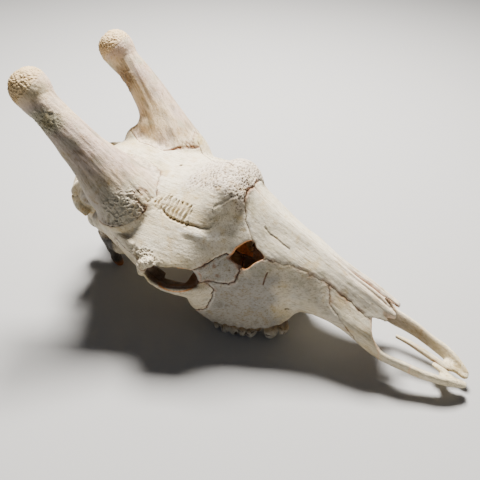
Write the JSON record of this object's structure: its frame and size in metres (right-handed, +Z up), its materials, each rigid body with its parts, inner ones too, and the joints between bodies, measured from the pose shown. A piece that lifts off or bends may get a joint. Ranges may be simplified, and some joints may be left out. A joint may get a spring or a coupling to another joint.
{
  "type": "giraffe skull",
  "caption": "Life-size giraffe cranium without lower jaw, with horn cores, cheek teeth and a slender forked muzzle, lying on molars and occipital processes.",
  "frame": {"origin": "middle of the skull's bounding box in plan, on the floor that its rest flats lie on", "axes": "+X from the back of the head to the tip of the muzzle, +Y to the animal's left, +Z up"},
  "size_m": [0.6184, 0.2586, 0.3321],
  "materials": {
    "bone": "matt dry bone",
    "pale_bone": "smooth pale bone",
    "horn_bone": "striated and beaded bone"
  },
  "bodies": {
    "root": {"braincase": "bone", "frontal": "bone", "lacrimal_left": "bone", "lacrimal_right": "bone", "maxilla_left": "bone", "maxilla_right": "bone", "nasal_left": "pale_bone", "nasal_right": "pale_bone", "ossicone_left": "horn_bone", "ossicone_right": "horn_bone", "palatine_vomer": "bone", "premaxilla_left": "bone", "premaxilla_right": "bone", "zygomatic_left": "bone", "zygomatic_right": "bone"}
  },
  "joints": []
}
